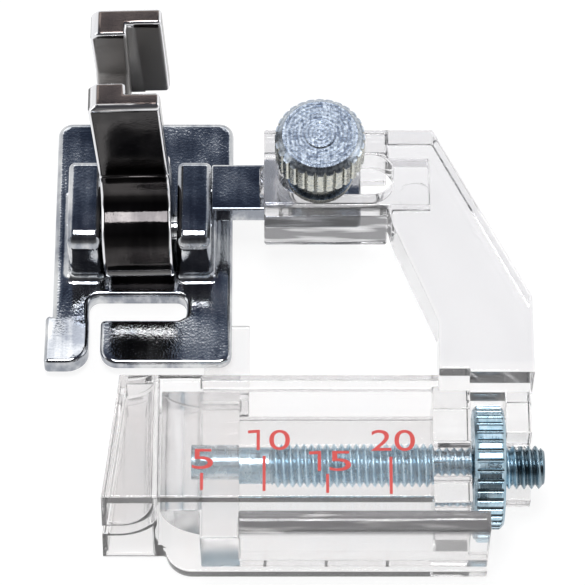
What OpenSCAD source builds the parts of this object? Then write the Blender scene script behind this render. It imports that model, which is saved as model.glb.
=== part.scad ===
// Adjustable bias-binder presser foot for a low-shank sewing machine.
// A chromed ankle clamps on the presser bar, a chromed sole tilts on its hinge
// pin, and a clear moulded tape guide hangs from a bar beside the sole.
// A thumb wheel on a lead screw sets the tape width.
// Millimetres. Origin at the needle drop point on the table, X to the right,
// Y away from the operator, Z up.

/* [Sole] */
// left edge of the sole plate
sole_x0 = -7.15; // [-9:0.05:-6]
// right edge of the sole plate
sole_x1 = 7.85; // [6:0.05:10]
// rear edge of the sole plate
sole_back = 17.9; // [14:0.1:22]
// thickness of the sole plate
sole_t = 1.5; // [1.2:0.05:2]
// rear corner radius
sole_corner_r = 1.2; // [0.4:0.1:3]
// line where the toes start to turn up
crease_y = -0.94; // [-2:0.02:0]
// how far the toes turn up, degrees
toe_rise = 8; // [4:0.5:12]
// front end of the right toe
right_toe_front = -5.5; // [-7:0.05:-4]
// front end of the left toe
left_toe_front = -5.75; // [-7:0.05:-4]
// left edge of the left toe
left_toe_x0 = -7.7; // [-9:0.05:-7]
// relief under the right toe for the tape tongue
toe_relief = 0.6; // [0.4:0.05:0.8]
// left end of the needle opening
needle_x0 = -4.1; // [-5:0.05:-3]
// right end of the needle opening
needle_x1 = 4.05; // [3:0.05:5]
// front edge of the needle opening
needle_y0 = -1.25; // [-2:0.05:-1]
// rear edge of the needle opening
needle_y1 = 1.05; // [0.8:0.05:2]
// corner radius of the needle opening
needle_r = 0.9; // [0.3:0.05:1.1]
// width of the slit between the toes
slit_w = 0.95; // [0.6:0.05:1.5]

/* [Hinge] */
// hinge axis, distance behind the needle
hinge_y = 5.1; // [4:0.05:6.5]
// hinge axis above the table
hinge_z = 5.8; // [5.7:0.05:6.2]
// hinge pin diameter
pin_d = 2.0; // [1.4:0.1:2.4]
// radial running clearance of the ankle on the pin
pin_clear = 0.03; // [0.01:0.01:0.1]
// barrel radius of the ankle
barrel_r = 4.0; // [3.4:0.05:4.1]
// width of the ankle along the pin
ankle_w = 5.75; // [5:0.05:6.5]
// middle of the ankle, left to right
ankle_mid = 0.2; // [-0.5:0.05:0.5]
// side clearance between ankle and ears
ear_gap = 0.25; // [0.1:0.05:0.5]
// thickness of each ear along the pin
ear_t = 2.85; // [2:0.05:3.5]
// front face of the ears
ear_front = 2.8; // [1.5:0.05:3.5]
// rear face of the ears
ear_back = 10.7; // [9.9:0.05:12]
// top of the ears
ear_top = 7.4; // [7.2:0.05:9]
// radius along the front top edge of the ears
ear_round = 0.95; // [0.3:0.05:1.5]

/* [Ankle] */
// front face of the upright strap
strap_front = 6.1; // [5:0.05:7]
// thickness of the upright strap
strap_t = 2.6; // [2:0.05:3.4]
// hollow radius between barrel and strap
strap_hollow_r = 2.6; // [1.5:0.05:3.5]
// top of the ankle
ankle_top = 23.3; // [20:0.1:26]
// rear face of the clamp
clamp_back = 15.6; // [14.8:0.05:18]
// lower end of the rear prong
prong_bottom = 12.9; // [11.5:0.1:15]
// thickness of the plate that takes the shank screw
plate_t = 2.75; // [2:0.05:3.2]
// width of the shank screw slot
screw_slot_w = 4.4; // [3.6:0.05:5]
// lowest position of the shank screw axis
screw_slot_z = 17.5; // [15:0.1:20]
// presser bar diameter
bar_d = 6.35; // [5.5:0.05:7]
// side clearance of the presser bar in its seat
bar_clear = 0.05; // [0.02:0.01:0.3]
// presser bar axis, distance behind the needle
bar_y = 10.95; // [10:0.05:12]
// bevel along the top of the clamp
clamp_bevel = 0.6; // [0.2:0.05:0.9]
// lean of the ankle's outside to the left, degrees
ankle_lean = 2.2; // [0:0.1:3]

/* [Carrier bar] */
// front face of the bar
carrier_y0 = 6.25; // [5.5:0.05:7]
// width of the bar
carrier_w = 4.35; // [3.6:0.05:4.6]
// top of the bar
carrier_top = 7.0; // [6.6:0.05:7.2]
// thickness of the bar
carrier_t = 2.0; // [1.6:0.05:2.6]
// right end of the bar
carrier_x1 = 18.6; // [17:0.1:20]
// diameter of the tenon set in the right ear
tenon_d = 1.8; // [1.2:0.1:2]
// length of the tenon
tenon_l = 2.4; // [1.5:0.1:2.7]

/* [Clamp screw] */
// clamp screw axis, left to right
knob_x = 15.15; // [13:0.05:17]
// nominal thread diameter of the clamp stud
stud_d = 3.0; // [2.5:0.1:3.4]
// radial clearance of the stud in the tapped bar
stud_clear = 0.05; // [0.02:0.01:0.1]
// washer diameter
washer_d = 5.6; // [5:0.1:7]
// washer thickness
washer_t = 0.5; // [0.3:0.05:1]
// collar diameter under the knurl
collar_d = 5.0; // [4:0.1:6]
// bottom of the knurled rim
knurl_z = 13.0; // [12:0.1:14]
// height of the knurled rim
knurl_h = 2.5; // [1.5:0.1:4]
// knurl outside diameter
knurl_d = 7.35; // [6:0.05:9]
// diameter of the flat top face
knob_face_d = 6.2; // [5:0.05:7]
// height of the bevel above the knurl
knob_bevel_h = 0.5; // [0.2:0.05:0.8]
// ribs round the knob
knob_ribs = 28; // [18:1:40]
// diameter of the stud end riveted in the knob
stud_end_d = 2.5; // [2:0.05:2.8]

/* [Guide frame] */
// top of the clamp head and arm
head_top = 9.6; // [9:0.1:11]
// left face of the clamp head
head_x0 = 10.55; // [9:0.05:11]
// front face of the clamp head
head_front = 5.05; // [4:0.05:5.6]
// rear face of the clamp head
head_back = 12.5; // [11.6:0.05:14]
// depth of the clamp head
head_h = 6.7; // [5:0.1:7.5]
// thickness of the diagonal arm
arm_t = 4.3; // [3:0.1:5]
// right end of the bar channel
channel_x1 = 24.3; // [23.2:0.1:25]
// side and top clearance of the bar in its channel
channel_clear = 0.05; // [0.02:0.01:0.2]
// width of the stud slot
stud_slot_w = 3.75; // [3.2:0.05:4.2]
// left end of the stud slot
stud_slot_x0 = 11.75; // [11.2:0.05:12.5]
// right end of the stud slot
stud_slot_x1 = 21.3; // [20:0.05:22.5]
// right edge of the arm
arm_x1 = 32.4; // [31:0.05:34]
// step from the arm down to the guide
step_y = -10.1; // [-11:0.05:-9]
// top face of the tape guide
guide_top = 8.2; // [7.6:0.05:9]
// thickness of the top plate
top_plate_t = 1.0; // [0.8:0.05:1.3]
// rear edge of the top plate
guide_back = -9.65; // [-10.5:0.05:-9]
// front edge of the top plate
plate_front = -20.55; // [-22:0.05:-19]
// front edge of the bottom plate
base_front = -23.9; // [-25:0.05:-23.7]
// thickness of the bottom plate
base_t = 1.2; // [0.9:0.05:1.3]
// left face of the nut block
block_x0 = 24.2; // [23.8:0.05:25]
// left side of the wheel pocket
pocket_x0 = 27.2; // [26.5:0.05:28]
// right side of the wheel pocket
pocket_x1 = 30.06; // [29.8:0.02:31]
// right face of the outer tab
tab_x1 = 32.15; // [31:0.05:34]
// top of the outer tab
tab_top = 7.5; // [7:0.05:8.2]
// left edge of the tape lips at the rear
lip_back_x = -1.05; // [-3:0.05:0]
// left edge of the tape lips at the front
lip_front_x = -2.3; // [-4:0.05:-1]
// radius of the rounded upper lip
lip_r = 3.2; // [2.5:0.05:3.6]
// wall of the hollow lips
lip_wall = 0.45; // [0.4:0.05:0.8]

/* [Slider] */
// left face of the slider block
slider_x0 = 5.55; // [5:0.05:6.5]
// width of the slider block
slider_w = 3.1; // [2.4:0.05:3.6]
// radius of the rounded nose
nose_r = 5.2; // [5:0.05:5.3]
// running gap of the slider above and below
slide_gap = 0.1; // [0.05:0.01:0.2]
// thickness of the front rail
rail_t = 1.8; // [1.2:0.05:1.85]
// top of the front rail
rail_top = 9.0; // [8.2:0.05:9.5]
// right end of the front rail
rail_x1 = 28.6; // [27:0.1:30]
// rear end of the tape tongue beside the sole
tongue_back = -1.2; // [-3:0.05:-1.15]
// thickness of the tape tongue
tongue_t = 0.42; // [0.3:0.02:0.45]

/* [Lead screw and wheel] */
// screw axis in front of the needle
screw_y = -16.6; // [-17.5:0.05:-16]
// screw axis above the table
screw_z = 5.3; // [5.2:0.05:5.4]
// nominal thread diameter
screw_d = 3.5; // [3:0.05:3.7]
// thread pitch
screw_pitch = 0.6; // [0.5:0.05:0.8]
// diameter of the plain shank
shank_d = 2.95; // [2.5:0.05:3.2]
// left end of the thread
thread_x0 = 11.1; // [10:0.1:13]
// right end of the thread
thread_x1 = 33.15; // [31:0.05:36]
// radial clearance of the screw in the nut block
block_clear = 0.1; // [0.05:0.01:0.15]
// radial clearance of the thread in the wheel
wheel_clear = 0.04; // [0.02:0.01:0.1]
// wheel outside diameter
wheel_d = 10; // [8:0.1:10]
// side clearance of the wheel in its pocket
wheel_gap = 0.2; // [0.1:0.02:0.4]
// bevel at both rims of the wheel
wheel_bevel = 0.35; // [0.1:0.05:0.6]
// teeth round the wheel
wheel_teeth = 38; // [24:1:48]

/* [Hidden] */
$fn = 64;
eps = 0.02;
far = 60;

// ankle and ears, left to right
ankle_x0 = ankle_mid - ankle_w / 2;
ankle_x1 = ankle_mid + ankle_w / 2;
ear_l1 = ankle_x0 - ear_gap;
ear_l0 = ear_l1 - ear_t;
ear_r0 = ankle_x1 + ear_gap;
ear_r1 = ear_r0 + ear_t;
ear_edge = 0.55;
pin_r = pin_d / 2;

// hollow in front of the strap, tangent to barrel and strap face
hollow_y = strap_front - strap_hollow_r;
hollow_dy = hollow_y - hinge_y;
hollow_reach = barrel_r + strap_hollow_r;
hollow_z = hinge_z + sqrt(hollow_reach * hollow_reach - hollow_dy * hollow_dy);
touch_y = hinge_y + hollow_dy * barrel_r / hollow_reach;
touch_z = hinge_z + (hollow_z - hinge_z) * barrel_r / hollow_reach;
strap_back = strap_front + strap_t;
seat_w = bar_d + 2 * bar_clear;
seat_x0 = ankle_x0 + plate_t - (screw_slot_z - hinge_z) * tan(ankle_lean);
// the plate runs on past the seat face, which is cut true
plate_x1 = seat_x0 + 1.4;
plate_low_z = 9.6;
prong_corner_r = 1.1;
strap_top_r = 0.6;
strap_step = 0.14;
strap_step_z = 12.65;

// needle slit between the toes, and the corners of the toe tips
slit_x0 = needle_x0 + 0.05;
slit_x1 = slit_x0 + slit_w;
toe_edge_r = 0.4;
left_tip_r = 1.8;
right_tip_in_r = 1.5;
right_tip_out_r = 1.1;

// carrier bar
carrier_y1 = carrier_y0 + carrier_w;
carrier_mid = carrier_y0 + carrier_w / 2;
carrier_z0 = carrier_top - carrier_t;
tenon_z = carrier_z0 + tenon_d / 2;
carrier_r = 0.4;

// clamp screw stack
knob_shift = 0.25;
knob_y = carrier_mid - knob_shift;
washer_top = head_top + washer_t;
knob_top = knurl_z + knurl_h + knob_bevel_h;
stud_r = stud_d / 2;
stud_end_r = stud_end_d / 2;
stud_below = 0.5;
stud_bottom = carrier_z0 - stud_below;
stud_proud = 0.12;
stud_chamfer = 0.35;
washer_clear = 0.15;
washer_hole_r = stud_r + washer_clear;
knob_rib_r = 0.36;
knob_rib_at = knurl_d / 2 - knob_rib_r + 0.05;
knob_core_r = knurl_d / 2 - knob_rib_r * 0.6;
knob_waist_d = collar_d - 0.9;
knob_waist_h = 0.35;

// guide frame
head_z0 = head_top - head_h;
head_x1 = 20.8;
arm_in_x = 24.72;
arm_in_y = -5.4;
arm_out_y = -3.1;
step_jog = 0.3;
arm_back_x = 24.6;
channel_top = carrier_top + channel_clear;
plate_z0 = guide_top - top_plate_t;
rib_y0 = guide_back - 0.95;
rib_z0 = 6.4;
block_front = -21.0;
pocket_back = -10.9;
bore_r = screw_d / 2 + block_clear;
notch_clear = 0.3;
notch_r = screw_d / 2 + notch_clear;
tab_low_front = -18.7;
tab_low_top = 3.6;
tab_z0 = 2.2;
lip_r_x = -1.0;
lip_z = 7.4;
lip_low_z = lip_z - lip_r;
ridge_x = -1.2;
ridge_z = 6.9;
ridge_r = 3.6;
ridge_x1 = 2.1;
foot_x1 = 3.6;
foot_top = 0.9;
foot_hollow_r = 2.7;
foot_hollow_z = foot_top + 2.5;
base_corner_r = 2.2;
nub_r = 1.0;
nub_proud = 0.4;
nub_z = 8.0;
nub_half_h = 0.8;
lip_slant = 1.6;
ejector_x = 23.0;
ejector_y = 6.0;
ejector_r = 1.4;
ejector_depth = 0.08;
ejector_w = 0.12;

// slider
slider_x1 = slider_x0 + slider_w;
slider_z0 = base_t + slide_gap;
slider_top = plate_z0 - slide_gap;
rail_y0 = base_front + 0.3;
rail_y1 = rail_y0 + rail_t;
rail_r = 0.85;
rail_end_r = 0.5;
nose_x = slider_x0 + 2.0;
nose_front = plate_front - 0.7;
tail_y0 = rib_y0 - 0.2;
tail_top = 4.0;
tail_back = -9.2;
base_back = -10.2;
tongue_z0 = 0.08;
tongue_x1 = slider_x1 + 0.7;
tongue_gap = 0.15;

// lead screw and wheel
screw_r = screw_d / 2;
thread_depth = 0.34;
// one thread ring along the axis, as shares of the pitch
crest_from = 0.4;
crest_to = 0.55;
ring_end = 0.95;
shank_x0 = slider_x0 - 0.75;
wheel_x0 = pocket_x0 + wheel_gap;
wheel_x1 = pocket_x1 - wheel_gap;
wheel_r = wheel_d / 2;
tooth_r = 0.24;
tooth_out = 0.05;
turns = floor((thread_x1 - thread_x0) / screw_pitch) - 1;

// box between two corners
module slab(x0, x1, y0, y1, z0, z1) {
    translate([x0, y0, z0]) cube([x1 - x0, y1 - y0, z1 - z0]);
}

// rectangle with its own radius at each corner: front left, front right,
// rear right, rear left
module rounded(x0, y0, x1, y1, fl, fr, rr, rl) {
    difference() {
        translate([x0, y0]) square([x1 - x0, y1 - y0]);
        corner_cut(x0, y0, 1, 1, fl);
        corner_cut(x1, y0, -1, 1, fr);
        corner_cut(x1, y1, -1, -1, rr);
        corner_cut(x0, y1, 1, -1, rl);
    }
}

// what a rounded corner leaves out
module corner_cut(x, y, sx, sy, r) {
    if (r > 0)
        difference() {
            translate([x - (sx < 0 ? r : 1), y - (sy < 0 ? r : 1)]) square([r + 1, r + 1]);
            translate([x + sx * r, y + sy * r]) circle(r = r);
        }
}

// side profile (Y, Z) drawn out from x0 to x1
module along_x(x0, x1) {
    translate([x0, 0, 0]) rotate([90, 0, 90]) linear_extrude(height = x1 - x0) children();
}

// front profile (X, Z) drawn out from y0 to y1
module along_y(y0, y1) {
    translate([0, y1, 0]) rotate([90, 0, 0]) linear_extrude(height = y1 - y0) children();
}

// plan (X, Y) drawn out from z0 to z1
module along_z(z0, z1) {
    translate([0, 0, z0]) linear_extrude(height = z1 - z0) children();
}

// round bar along X
module rod_x(x0, x1, y, z, r) {
    translate([x0, y, z]) rotate([0, 90, 0]) cylinder(h = x1 - x0, r = r);
}

// round post along Z at the clamp screw axis
module post(z0, z1, r) {
    translate([knob_x, knob_y, z0]) cylinder(h = z1 - z0, r = r);
}

// one turned-up toe, drawn flat and swung about the crease
module toe(bottom) {
    translate([0, crease_y, 0])
        rotate([-toe_rise, 0, 0])
            translate([0, -crease_y, 0])
                along_z(bottom, sole_t) children();
}

// one hinge ear standing on the sole
module ear(x0, x1) {
    intersection() {
        along_x(x0, x1)
            rounded(ear_front, sole_t - eps, ear_back, ear_top, 0, 0, ear_edge, ear_round);
        along_y(ear_front, ear_back)
            rounded(x0, sole_t - eps, x1, ear_top, 0, 0, ear_edge, ear_edge);
        along_z(0, ear_top)
            rounded(x0, ear_front, x1, ear_back, ear_edge, ear_edge, ear_edge, ear_edge);
    }
}

module sole_plate() {
    color([0.78, 0.79, 0.82])
    difference() {
        union() {
            along_z(0, sole_t)
                rounded(sole_x0, crease_y, sole_x1, sole_back, 0, 0, sole_corner_r, sole_corner_r);
            toe(0)
                rounded(left_toe_x0, left_toe_front, slit_x0, crease_y + eps, toe_edge_r, left_tip_r,
                        0, toe_edge_r);
            toe(toe_relief)
                rounded(slit_x1, right_toe_front, sole_x1, crease_y + eps, right_tip_in_r,
                        right_tip_out_r, 0, 0);
            ear(ear_l0, ear_l1);
            ear(ear_r0, ear_r1);
        }
        along_z(-1, ear_top)
            rounded(needle_x0, needle_y0, needle_x1, needle_y1, 0, needle_r, needle_r, needle_r);
        slab(slit_x0, slit_x1, -far, 0, -1, ear_top);
        rod_x(ear_l0 - 1, ear_r1 + 1, hinge_y, hinge_z, pin_r);
        rod_x(ear_r1 - tenon_l, ear_r1 + 1, carrier_mid, tenon_z, tenon_d / 2);
    }
}

module hinge_pin() {
    color([0.6, 0.6, 0.62])
    rod_x(ear_l0, ear_r1, hinge_y, hinge_z, pin_r);
}

// barrel, hollow and strap seen from the side
module ankle_side() {
    difference() {
        union() {
            translate([hinge_y, hinge_z]) circle(r = barrel_r);
            polygon([[touch_y, touch_z], [hollow_y, hollow_z], [strap_front, hollow_z],
                     [strap_back, hollow_z], [strap_back, hinge_z], [hinge_y, hinge_z]]);
            // the flat of the strap is set back a little above the hollow
            translate([strap_front, hollow_z - eps])
                square([strap_t, strap_step_z - hollow_z + eps]);
            rounded(strap_front + strap_step, strap_step_z - eps, strap_back, ankle_top, 0, 0, 0,
                    strap_top_r);
        }
        translate([hollow_y, hollow_z]) circle(r = strap_hollow_r);
    }
}

// plate that carries the shank screw, seen from the side
module screw_plate_side() {
    rounded(strap_front + 1, prong_bottom, clamp_back, ankle_top, 0, prong_corner_r, 0, 0);
    polygon([[strap_front + 1, plate_low_z], [strap_back, plate_low_z],
             [clamp_back - prong_corner_r, prong_bottom + eps],
             [strap_front + 1, prong_bottom + eps]]);
}

// open slot for the shank screw, seen from the side
module screw_slot_side() {
    translate([bar_y, screw_slot_z]) circle(d = screw_slot_w);
    translate([bar_y - screw_slot_w / 2, screw_slot_z]) square([screw_slot_w, far]);
}

// the outside of the ankle leans a little; bore, slot and seat stay true
module lean() {
    translate([ankle_mid, 0, hinge_z])
        rotate([0, -ankle_lean, 0])
            translate([-ankle_mid, 0, -hinge_z]) children();
}

module ankle() {
    color([0.78, 0.79, 0.82])
    difference() {
        lean() difference() {
            union() {
                along_x(ankle_x0, ankle_x1) ankle_side();
                along_x(ankle_x0, plate_x1) screw_plate_side();
                along_x(plate_x1 - eps, ankle_x1)
                    rounded(bar_y + seat_w / 2, prong_bottom, clamp_back, ankle_top, 0,
                            prong_corner_r, 0, 0);
            }
            // bevel along the left top edge
            along_y(0, far)
                polygon([[ankle_x0 - 1, ankle_top - clamp_bevel - 1],
                         [ankle_x0 + clamp_bevel + 1, ankle_top + 1],
                         [ankle_x0 - 1, ankle_top + 1]]);
        }
        slab(seat_x0, ankle_x1 + 1, bar_y - seat_w / 2, bar_y + seat_w / 2, prong_bottom - 1, far);
        along_x(ankle_x0 - 3, seat_x0 + eps) screw_slot_side();
        rod_x(ankle_x0 - 1, ankle_x1 + 1, hinge_y, hinge_z, pin_r + pin_clear);
    }
}

module carrier_bar() {
    color([0.78, 0.79, 0.82])
    difference() {
        union() {
            along_z(carrier_z0, carrier_top)
                rounded(ear_r1, carrier_y0, carrier_x1, carrier_y1, 0, carrier_r, carrier_r, 0);
            rod_x(ear_r1 - tenon_l, ear_r1 + eps, carrier_mid, tenon_z, tenon_d / 2);
        }
        post(0, far, stud_r + stud_clear);
    }
}

module clamp_stud() {
    color([0.72, 0.74, 0.8])
    union() {
        translate([knob_x, knob_y, stud_bottom])
            cylinder(h = stud_chamfer, r1 = stud_r - stud_chamfer, r2 = stud_r);
        post(stud_bottom + stud_chamfer, washer_top, stud_r);
        post(washer_top - eps, knob_top + stud_proud, stud_end_r);
    }
}

module clamp_washer() {
    color([0.8, 0.81, 0.84])
    difference() {
        post(head_top, washer_top, washer_d / 2);
        post(head_top - 1, washer_top + 1, washer_hole_r);
    }
}

module clamp_knob() {
    color([0.72, 0.74, 0.8])
    translate([knob_x, knob_y, 0]) union() {
        intersection() {
            rotate_extrude()
                polygon([[stud_end_r, knurl_z], [knurl_d / 2, knurl_z],
                         [knurl_d / 2, knurl_z + knurl_h], [knob_face_d / 2, knob_top],
                         [stud_end_r, knob_top]]);
            union() {
                translate([0, 0, knurl_z - 1]) cylinder(h = 9, r = knob_core_r);
                for (k = [0 : knob_ribs - 1])
                    rotate([0, 0, k * 360 / knob_ribs])
                        translate([knob_rib_at, 0, knurl_z - 1])
                            cylinder(h = 9, r = knob_rib_r, $fn = 24);
            }
        }
        rotate_extrude()
            polygon([[stud_end_r, washer_top], [collar_d / 2, washer_top],
                     [collar_d / 2, knurl_z - knob_waist_h],
                     [knob_waist_d / 2, knurl_z - knob_waist_h], [knob_waist_d / 2, knurl_z + eps],
                     [stud_end_r, knurl_z + eps]]);
    }
}

// plan of the head and the diagonal arm
module arm_plan() {
    polygon([[head_x0, head_front], [head_x1, head_front], [head_x1 + 0.3, head_front - 1.45],
             [arm_in_x, arm_in_y], [arm_in_x, step_y + step_jog], [pocket_x0, step_y + step_jog],
             [pocket_x0, step_y], [arm_x1, step_y], [arm_x1, arm_out_y], [arm_back_x, head_back],
             [head_x0, head_back]]);
}

// plan of the tape lips, whose left edge runs outwards to the front
module lip_plan(inset, x1) {
    polygon([[lip_back_x + inset, guide_back - inset], [x1, guide_back - inset], [x1, -far],
             [lip_front_x + inset - 4, -far], [lip_front_x + inset, plate_front]]);
}

// front ends of the lips lean forward at the bottom
module lip_front_cut() {
    along_x(-far, foot_x1 + 1)
        polygon([[plate_front, guide_top], [plate_front - lip_slant, 0], [plate_front - lip_slant, -1],
                 [-far, -1], [-far, guide_top + 1], [plate_front, guide_top + 1]]);
}

// section of the rounded upper lip, front view
module upper_lip_front(inset, top) {
    translate([lip_front_x - 3, lip_low_z + inset])
        square([lip_r_x - lip_front_x + 3, top - lip_low_z - inset]);
    intersection() {
        translate([lip_r_x, lip_z]) circle(r = lip_r - inset);
        translate([lip_r_x - 1, lip_low_z]) square([far, top - lip_low_z]);
    }
}

// rounded upper lip, hollow and open to the front
module upper_lip() {
    difference() {
        intersection() {
            along_y(-far / 2, guide_back) upper_lip_front(0, guide_top);
            along_z(0, guide_top) lip_plan(0, lip_r_x + lip_r + 1);
        }
        lip_front_cut();
    }
}

module upper_lip_hollow() {
    intersection() {
        along_y(-far / 2, guide_back - lip_wall) upper_lip_front(lip_wall, plate_z0);
        along_z(0, guide_top) lip_plan(lip_wall, lip_r_x + lip_r);
    }
}

// section of the hollow-sided ridge under the upper lip, front view
module ridge_front(inset) {
    difference() {
        union() {
            translate([lip_front_x - 3, inset])
                square([ridge_x1 - inset - lip_front_x + 3, ridge_z - inset]);
            if (inset == 0)
                translate([ridge_x1 - 1, 0]) square([foot_x1 - ridge_x1 + 1, foot_top + 1]);
        }
        translate([ridge_x, ridge_z]) circle(r = ridge_r + inset);
        translate([ridge_x - 10, ridge_z - ridge_r - inset]) square([10, far]);
        translate([foot_x1 + 1, foot_hollow_z]) circle(r = foot_hollow_r);
    }
}

// ridge that folds the tape, hollow and open to the front
module lower_ridge() {
    difference() {
        intersection() {
            along_y(-far / 2, guide_back) ridge_front(0);
            along_z(0, guide_top) lip_plan(0, foot_x1);
        }
        lip_front_cut();
    }
}

module lower_ridge_hollow() {
    intersection() {
        along_y(-far / 2, guide_back - lip_wall) ridge_front(lip_wall);
        along_z(0, guide_top) lip_plan(lip_wall, ridge_x1);
    }
}

// tab that holds the outer end of the screw, seen from the side
module tab_side() {
    difference() {
        union() {
            translate([screw_y, tab_z0]) square([base_back - screw_y, tab_top - tab_z0]);
            translate([tab_low_front, tab_z0])
                square([screw_y - tab_low_front + eps, tab_low_top - tab_z0]);
        }
        translate([screw_y, screw_z]) circle(r = notch_r);
        translate([screw_y - far, screw_z]) square([far + notch_r, far]);
    }
}

module guide_frame() {
    color([0.9, 0.92, 0.95, 0.35])
    difference() {
        union() {
            along_z(head_top - arm_t, head_top) arm_plan();
            slab(head_x0, head_x1, head_front, head_back, head_z0, head_top);
            // boss on the left face of the head
            translate([head_x0 - nub_proud, carrier_mid, 0])
                along_z(nub_z - nub_half_h, nub_z + nub_half_h)
                    rounded(0, -nub_r, nub_proud + 1, nub_r, nub_proud, 0, 0, nub_proud);
            // nut block, rear wall of the wheel pocket and outer tab
            slab(block_x0, pocket_x0, block_front, base_back, 0, guide_top);
            slab(pocket_x0 - eps, pocket_x1 + eps, pocket_back, base_back, tab_z0, tab_top);
            slab(arm_in_x, tab_x1, base_back - eps, step_y + 1, head_top - arm_t, tab_top);
            slab(arm_in_x, pocket_x0, base_back - eps, step_y + 1, head_top - arm_t, guide_top);
            along_x(pocket_x1, tab_x1) tab_side();
            // top plate with its rear rib
            slab(0, block_x0 + 1, plate_front, guide_back, plate_z0, guide_top);
            slab(slider_x0, block_x0 + 1, rib_y0, guide_back, rib_z0, guide_top);
            // bottom plate and the strip under the front rail
            along_z(0, base_t)
                rounded(foot_x1 - 1, base_front, block_x0 + 1, base_back, base_corner_r, 0, 0, 0);
            slab(block_x0, rail_x1, base_front, block_front + eps, 0, base_t);
            upper_lip();
            lower_ridge();
        }
        upper_lip_hollow();
        lower_ridge_hollow();
        // shallow ring left by an ejector pin
        translate([ejector_x, ejector_y, head_top - ejector_depth]) difference() {
            cylinder(h = 1, r = ejector_r);
            translate([0, 0, -eps]) cylinder(h = 2, r = ejector_r - ejector_w);
        }
        // channel for the carrier bar, open below
        slab(head_x0 - 1, channel_x1, carrier_y0 - channel_clear, carrier_y1 + channel_clear,
             0, channel_top);
        // slot for the clamp stud
        translate([0, knob_y, 0]) along_z(0, far) {
            translate([stud_slot_x0 + stud_slot_w / 2, 0]) circle(d = stud_slot_w);
            translate([stud_slot_x1 - stud_slot_w / 2, 0]) circle(d = stud_slot_w);
            translate([stud_slot_x0 + stud_slot_w / 2, -stud_slot_w / 2])
                square([stud_slot_x1 - stud_slot_x0 - stud_slot_w, stud_slot_w]);
        }
        rod_x(block_x0 - 1, pocket_x0 + 1, screw_y, screw_z, bore_r);
    }
}

module slider() {
    color([0.9, 0.92, 0.95, 0.35])
    difference() {
        union() {
            slab(slider_x0, slider_x1, rail_y0, tail_y0, slider_z0, slider_top);
            // rounded nose that turns the tape
            intersection() {
                along_y(nose_front, tail_y0)
                    translate([nose_x, slider_top]) circle(r = nose_r);
                slab(slider_x0 - nose_r, slider_x0 + 1, -far, 0, slider_z0, slider_top);
            }
            // low tail and the thin tongue that lays the tape under the foot
            slab(slider_x0, slider_x1, tail_y0 - eps, base_back, slider_z0, tail_top);
            slab(slider_x0, tongue_x1, base_back + tongue_gap, tail_back, tongue_z0, tail_top);
            slab(slider_x0, slider_x1, base_back - eps, base_back + tongue_gap + eps, slider_z0, tail_top);
            slab(slider_x0, tongue_x1, tail_back - eps, tongue_back, tongue_z0, tongue_z0 + tongue_t);
            // front rail
            intersection() {
                along_x(slider_x1 - eps, rail_x1)
                    rounded(rail_y0, slider_z0, rail_y1, rail_top, 0, 0, rail_r, rail_r);
                along_y(rail_y0, rail_y1)
                    rounded(slider_x1 - 1, slider_z0, rail_x1, rail_top, 0, 0, rail_end_r, 0);
            }
        }
        rod_x(shank_x0, slider_x1 + 1, screw_y, screw_z, shank_d / 2);
    }
}

// half section of one thread ring
module thread_ring(z) {
    polygon([[screw_r - thread_depth - eps, z], [screw_r - thread_depth, z],
             [screw_r, z + screw_pitch * crest_from], [screw_r, z + screw_pitch * crest_to],
             [screw_r - thread_depth, z + screw_pitch * ring_end],
             [screw_r - thread_depth - eps, z + screw_pitch * ring_end]]);
}

module lead_screw() {
    color([0.72, 0.74, 0.8])
    union() {
        rod_x(shank_x0, thread_x0, screw_y, screw_z, shank_d / 2);
        translate([thread_x0, screw_y, screw_z]) rotate([0, 90, 0])
            rotate_extrude() {
                translate([0, -eps])
                    square([screw_r - thread_depth, thread_x1 - thread_x0 + eps]);
                for (k = [0 : turns]) thread_ring(k * screw_pitch);
            }
    }
}

module adjusting_wheel() {
    color([0.72, 0.74, 0.8])
    difference() {
        translate([wheel_x0, screw_y, screw_z]) rotate([0, 90, 0])
            rotate_extrude()
                polygon([[screw_r + wheel_clear, 0], [wheel_r - wheel_bevel, 0],
                         [wheel_r, wheel_bevel], [wheel_r, wheel_x1 - wheel_x0 - wheel_bevel],
                         [wheel_r - wheel_bevel, wheel_x1 - wheel_x0],
                         [screw_r + wheel_clear, wheel_x1 - wheel_x0]]);
        for (k = [0 : wheel_teeth - 1])
            translate([wheel_x0 - 1, screw_y, screw_z]) rotate([k * 360 / wheel_teeth, 0, 0])
                translate([0, 0, wheel_r + tooth_out])
                    rotate([0, 90, 0]) cylinder(h = 6, r = tooth_r, $fn = 24);
    }
}

ankle();
hinge_pin();
sole_plate();
carrier_bar();
guide_frame();
slider();
lead_screw();
adjusting_wheel();
clamp_knob();
clamp_stud();
clamp_washer();
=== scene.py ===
import math

import bmesh
import bpy
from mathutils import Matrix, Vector
from mathutils.geometry import delaunay_2d_cdt


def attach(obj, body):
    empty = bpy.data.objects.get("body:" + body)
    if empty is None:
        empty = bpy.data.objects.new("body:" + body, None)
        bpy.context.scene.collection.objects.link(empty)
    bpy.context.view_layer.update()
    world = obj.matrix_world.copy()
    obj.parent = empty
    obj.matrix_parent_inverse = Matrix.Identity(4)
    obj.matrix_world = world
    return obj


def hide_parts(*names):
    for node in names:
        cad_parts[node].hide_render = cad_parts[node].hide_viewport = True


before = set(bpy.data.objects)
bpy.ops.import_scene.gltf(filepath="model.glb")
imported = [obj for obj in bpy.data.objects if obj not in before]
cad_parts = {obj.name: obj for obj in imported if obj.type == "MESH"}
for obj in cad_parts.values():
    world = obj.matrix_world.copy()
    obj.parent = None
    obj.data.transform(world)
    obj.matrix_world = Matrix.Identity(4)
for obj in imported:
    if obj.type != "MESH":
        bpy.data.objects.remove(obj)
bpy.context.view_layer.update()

scene = bpy.context.scene
MM = 0.001

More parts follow.
